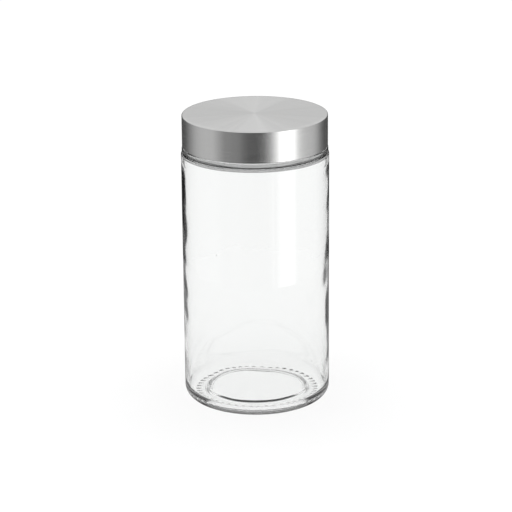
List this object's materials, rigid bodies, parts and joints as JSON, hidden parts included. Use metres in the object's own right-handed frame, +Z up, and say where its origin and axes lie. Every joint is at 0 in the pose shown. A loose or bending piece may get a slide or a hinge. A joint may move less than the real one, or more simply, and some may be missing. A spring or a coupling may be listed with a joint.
{
  "type": "lidded glass canister",
  "caption": "Round straight-sided glass storage jar with a brushed stainless steel twist-off lid that turns open and lifts off.",
  "frame": {"origin": "centre of the jar's footprint on the surface it stands on", "axes": "+Z up along the jar's axis; +X and +Y are any two directions at right angles, with one lid lug just past +X"},
  "size_m": [0.11, 0.11, 0.22],
  "materials": {
    "jar_glass": "clear, polished",
    "lid_steel": "spun brushed satin",
    "insert_plastic": "moulded grey polypropylene, satin",
    "seal_silicone": "matte silicone"
  },
  "bodies": {
    "jar": {"glass_jar": "jar_glass"},
    "seal": {"seal_ring": "seal_silicone"},
    "lid": {"lid_shell": "lid_steel", "lid_insert": "insert_plastic"}
  },
  "joints": [
    {"name": "lid_lift", "type": "slide", "parent": "jar", "child": "seal", "axis": [0, 0, 1], "range_m": [0, 0.09]},
    {"name": "lid_turn", "type": "hinge", "parent": "seal", "child": "lid", "pos_m": [0, 0, 0.2], "axis": [0, 0, 1], "range_deg": [0, 68]}
  ]
}
